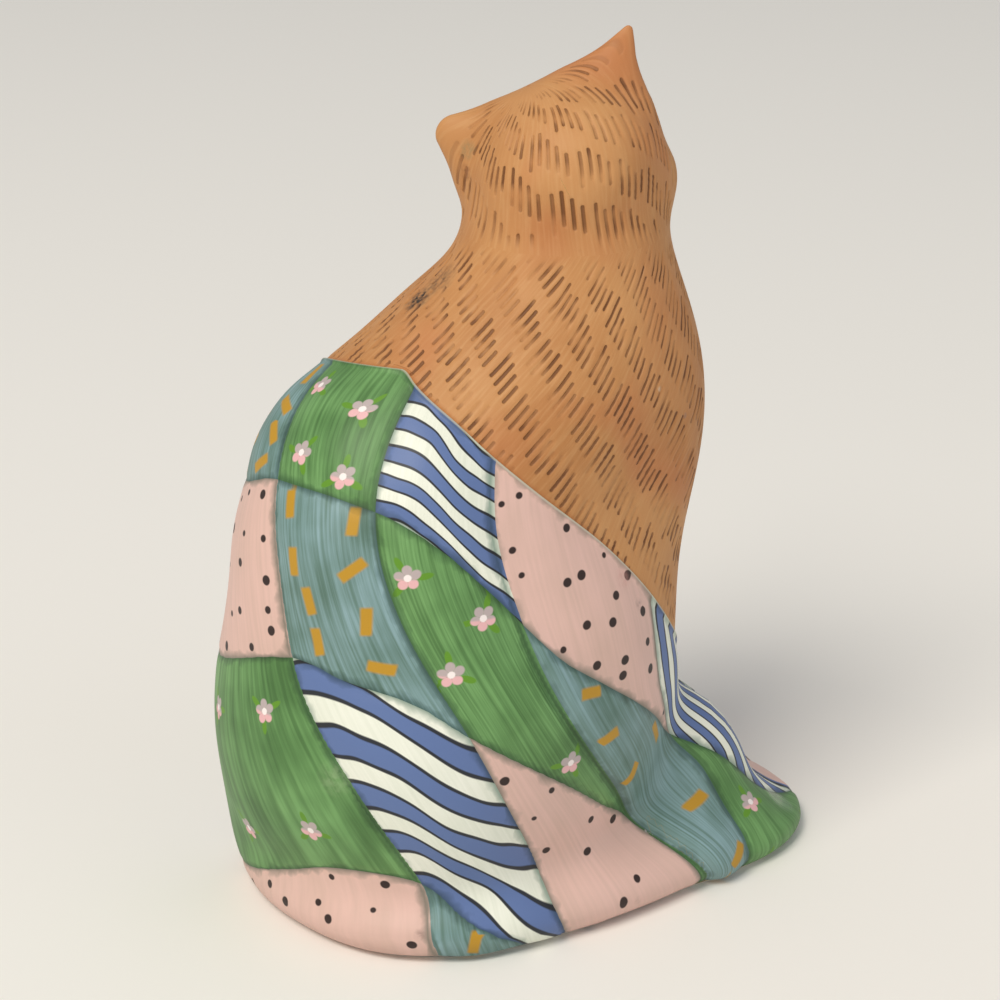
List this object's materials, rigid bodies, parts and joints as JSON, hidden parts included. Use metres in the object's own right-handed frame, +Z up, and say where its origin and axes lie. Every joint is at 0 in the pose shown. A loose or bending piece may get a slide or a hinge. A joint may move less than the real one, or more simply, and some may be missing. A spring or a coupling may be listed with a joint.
{
  "type": "porcelain cat figurine",
  "caption": "Sitting porcelain cat wrapped in a painted patchwork quilt, head turned and tilted, cast in one piece with a flat underside.",
  "frame": {"origin": "middle of the figure's footprint box, on the plane it stands on", "axes": "+Z up, the cat's body faces -Y, its left side is +X"},
  "size_m": [0.0956, 0.1358, 0.1913],
  "materials": {
    "painted_porcelain": "bisque porcelain with a fired satin paint: orange coat with incised strokes, patchwork quilt in green, blue, pink and white, bare underside"
  },
  "bodies": {
    "root": {"cat_figurine": "painted_porcelain"}
  },
  "joints": []
}
